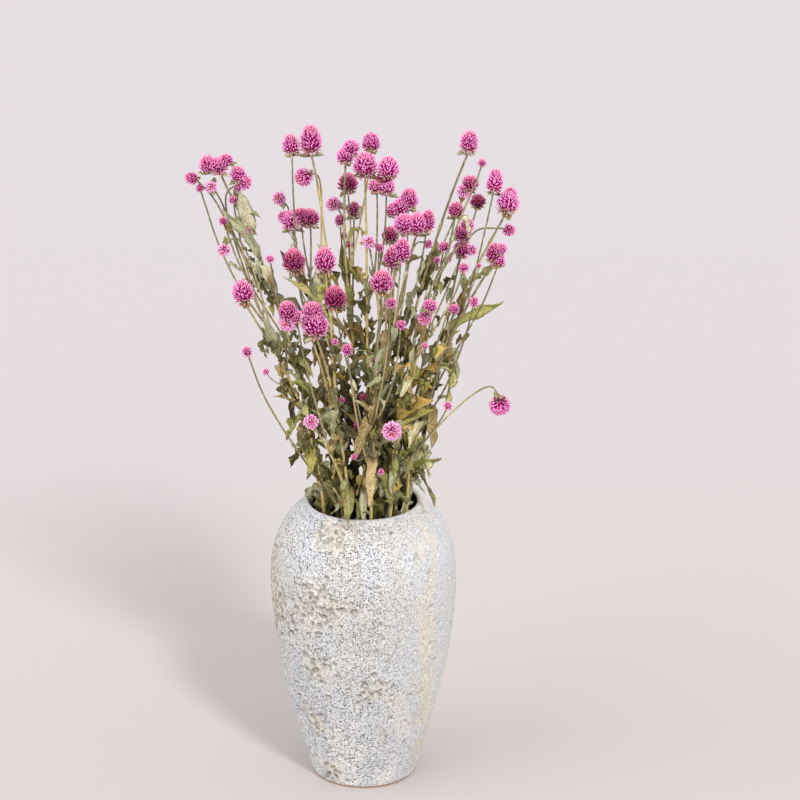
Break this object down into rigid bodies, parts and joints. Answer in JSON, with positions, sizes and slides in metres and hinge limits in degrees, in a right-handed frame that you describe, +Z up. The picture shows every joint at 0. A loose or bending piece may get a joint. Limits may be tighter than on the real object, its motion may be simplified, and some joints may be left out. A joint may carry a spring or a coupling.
{
  "type": "vase of dried globe amaranth",
  "caption": "Tall shouldered stoneware vase with a pitted glaze, holding a loose fan of dried globe amaranth: leafy stalks with pink bract-covered heads.",
  "frame": {"origin": "middle of the vase's flat foot, on the surface that it stands on", "axes": "+Z up along the vase's axis; -Y towards the side that the picture shows; +X to its right"},
  "size_m": [0.3062, 0.2096, 0.6443],
  "materials": {
    "stoneware": "satin",
    "dried_greenery": "matte",
    "flower_heads": "matte"
  },
  "bodies": {
    "root": {"heads_back_1": "flower_heads", "heads_back_2": "flower_heads", "heads_back_3": "flower_heads", "heads_back_4": "flower_heads", "heads_back_5": "flower_heads", "heads_centre_front_1": "flower_heads", "heads_centre_left_1": "flower_heads", "heads_centre_left_2": "flower_heads", "heads_centre_mid_1": "flower_heads", "heads_centre_mid_2": "flower_heads", "heads_centre_right_1": "flower_heads", "heads_centre_right_2": "flower_heads", "heads_centre_top_1": "flower_heads", "heads_centre_top_2": "flower_heads", "heads_front_1": "flower_heads", "heads_front_2": "flower_heads", "heads_front_3": "flower_heads", "heads_left_low_1": "flower_heads", "heads_left_low_2": "flower_heads", "heads_left_top_1": "flower_heads", "heads_left_top_2": "flower_heads", "heads_left_top_3": "flower_heads", "heads_left_top_4": "flower_heads", "heads_low_left_1": "flower_heads", "heads_low_left_2": "flower_heads", "heads_low_left_3": "flower_heads", "heads_mid_left_1": "flower_heads", "heads_mid_left_2": "flower_heads", "heads_right_edge_1": "flower_heads", "heads_right_low_1": "flower_heads", "heads_right_low_2": "flower_heads", "heads_right_mid_1": "flower_heads", "heads_right_mid_2": "flower_heads", "heads_right_mid_3": "flower_heads", "heads_right_outer_1": "flower_heads", "heads_right_outer_2": "flower_heads", "heads_right_tall_1": "flower_heads", "heads_right_tall_2": "flower_heads", "heads_right_tall_3": "flower_heads", "heads_tall_1": "flower_heads", "heads_tall_2": "flower_heads", "heads_tall_3": "flower_heads", "stem_back": "dried_greenery", "stem_centre_front": "dried_greenery", "stem_centre_left": "dried_greenery", "stem_centre_mid": "dried_greenery", "stem_centre_right": "dried_greenery", "stem_centre_top": "dried_greenery", "stem_front": "dried_greenery", "stem_left_low": "dried_greenery", "stem_left_top": "dried_greenery", "stem_low_left": "dried_greenery", "stem_mid_left": "dried_greenery", "stem_right_edge": "dried_greenery", "stem_right_low": "dried_greenery", "stem_right_mid": "dried_greenery", "stem_right_outer": "dried_greenery", "stem_right_tall": "dried_greenery", "stem_tall": "dried_greenery", "vase": "stoneware"}
  },
  "joints": []
}
